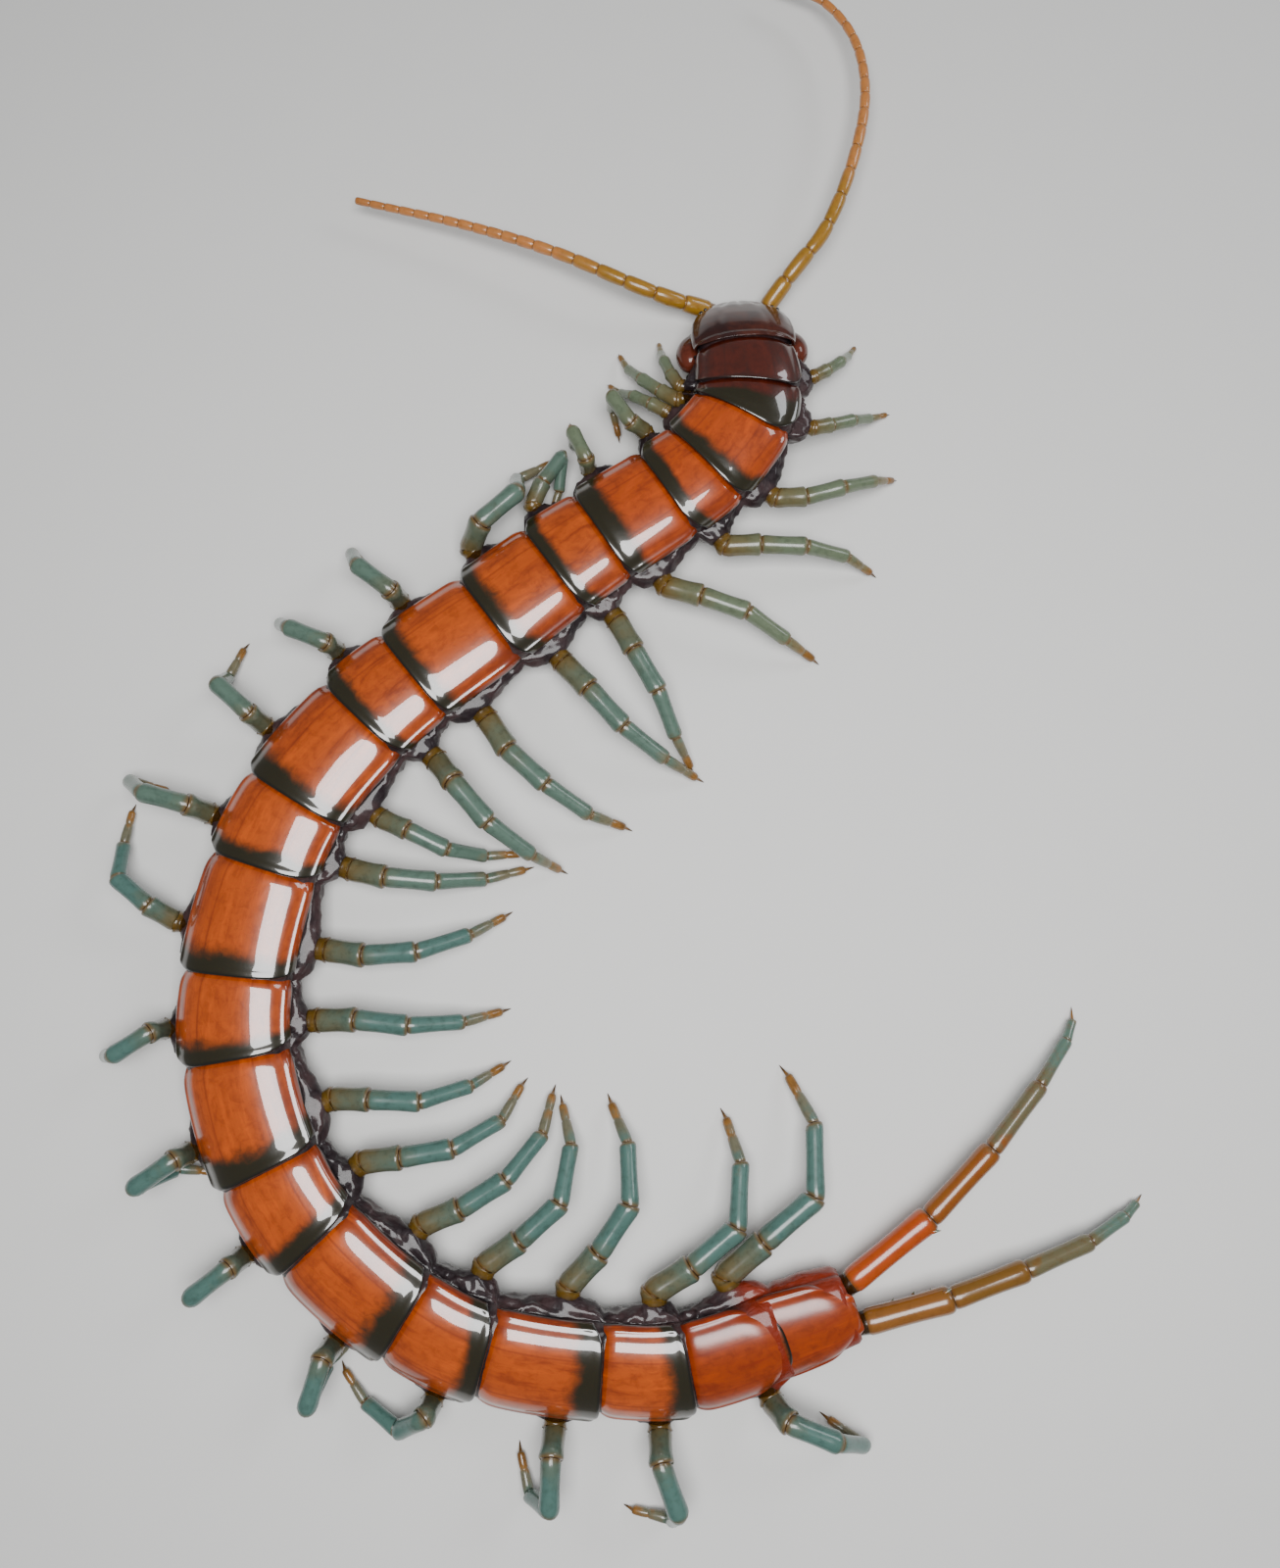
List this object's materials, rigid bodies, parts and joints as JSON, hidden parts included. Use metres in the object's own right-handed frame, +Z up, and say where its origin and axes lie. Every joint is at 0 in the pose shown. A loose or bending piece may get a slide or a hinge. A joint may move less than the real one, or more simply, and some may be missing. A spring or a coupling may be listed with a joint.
{
  "type": "giant centipede",
  "caption": "Life-size still model of a giant centipede curled in a C, with banded orange back plates, blue-green legs and long feelers.",
  "frame": {"origin": "centre of the model's outline, on the floor", "axes": "+Y the way the head points, +X to the right of the curl seen from above, +Z up"},
  "size_m": [0.1124, 0.1723, 0.0101],
  "materials": {
    "body_shell": "glossy orange shell with olive-black rear bands",
    "tail_shell": "glossy red-orange shell",
    "head_shell": "glossy dark maroon shell",
    "leg": "satin blue-green leg with amber joint rings",
    "tail_leg": "glossy orange leg that turns olive towards its tip",
    "feeler": "satin orange-tan feeler of many short beads"
  },
  "bodies": {
    "root": {"head": "head_shell", "fang_plate": "head_shell", "fang_left": "head_shell", "fang_right": "head_shell", "antenna_left": "feeler", "antenna_right": "feeler", "trunk_01": "body_shell", "trunk_02": "body_shell", "trunk_03": "body_shell", "trunk_04": "body_shell", "trunk_05": "body_shell", "trunk_06": "body_shell", "trunk_07": "body_shell", "trunk_08": "body_shell", "trunk_09": "body_shell", "trunk_10": "body_shell", "trunk_11": "body_shell", "trunk_12": "tail_shell", "leg_right_01": "leg", "leg_right_02": "leg", "leg_right_03": "leg", "leg_right_04": "leg", "leg_right_05": "leg", "leg_right_06": "leg", "leg_right_07": "leg", "leg_right_08": "leg", "leg_right_09": "leg", "leg_right_10": "leg", "leg_right_11": "leg", "leg_right_12": "leg", "leg_right_13": "leg", "leg_right_14": "leg", "leg_right_15": "leg", "leg_right_16": "leg", "leg_right_17": "leg", "leg_right_18": "leg", "leg_right_19": "leg", "leg_right_20": "leg", "leg_right_21": "tail_leg", "leg_left_01": "leg", "leg_left_02": "leg", "leg_left_03": "leg", "leg_left_04": "leg", "leg_left_05": "leg", "leg_left_06": "leg", "leg_left_07": "leg", "leg_left_08": "leg", "leg_left_09": "leg", "leg_left_10": "leg", "leg_left_11": "leg", "leg_left_12": "leg", "leg_left_13": "leg", "leg_left_14": "leg", "leg_left_15": "leg", "leg_left_16": "leg", "leg_left_17": "leg", "leg_left_18": "leg", "leg_left_19": "leg", "leg_left_20": "leg", "leg_left_21": "tail_leg"}
  },
  "joints": []
}
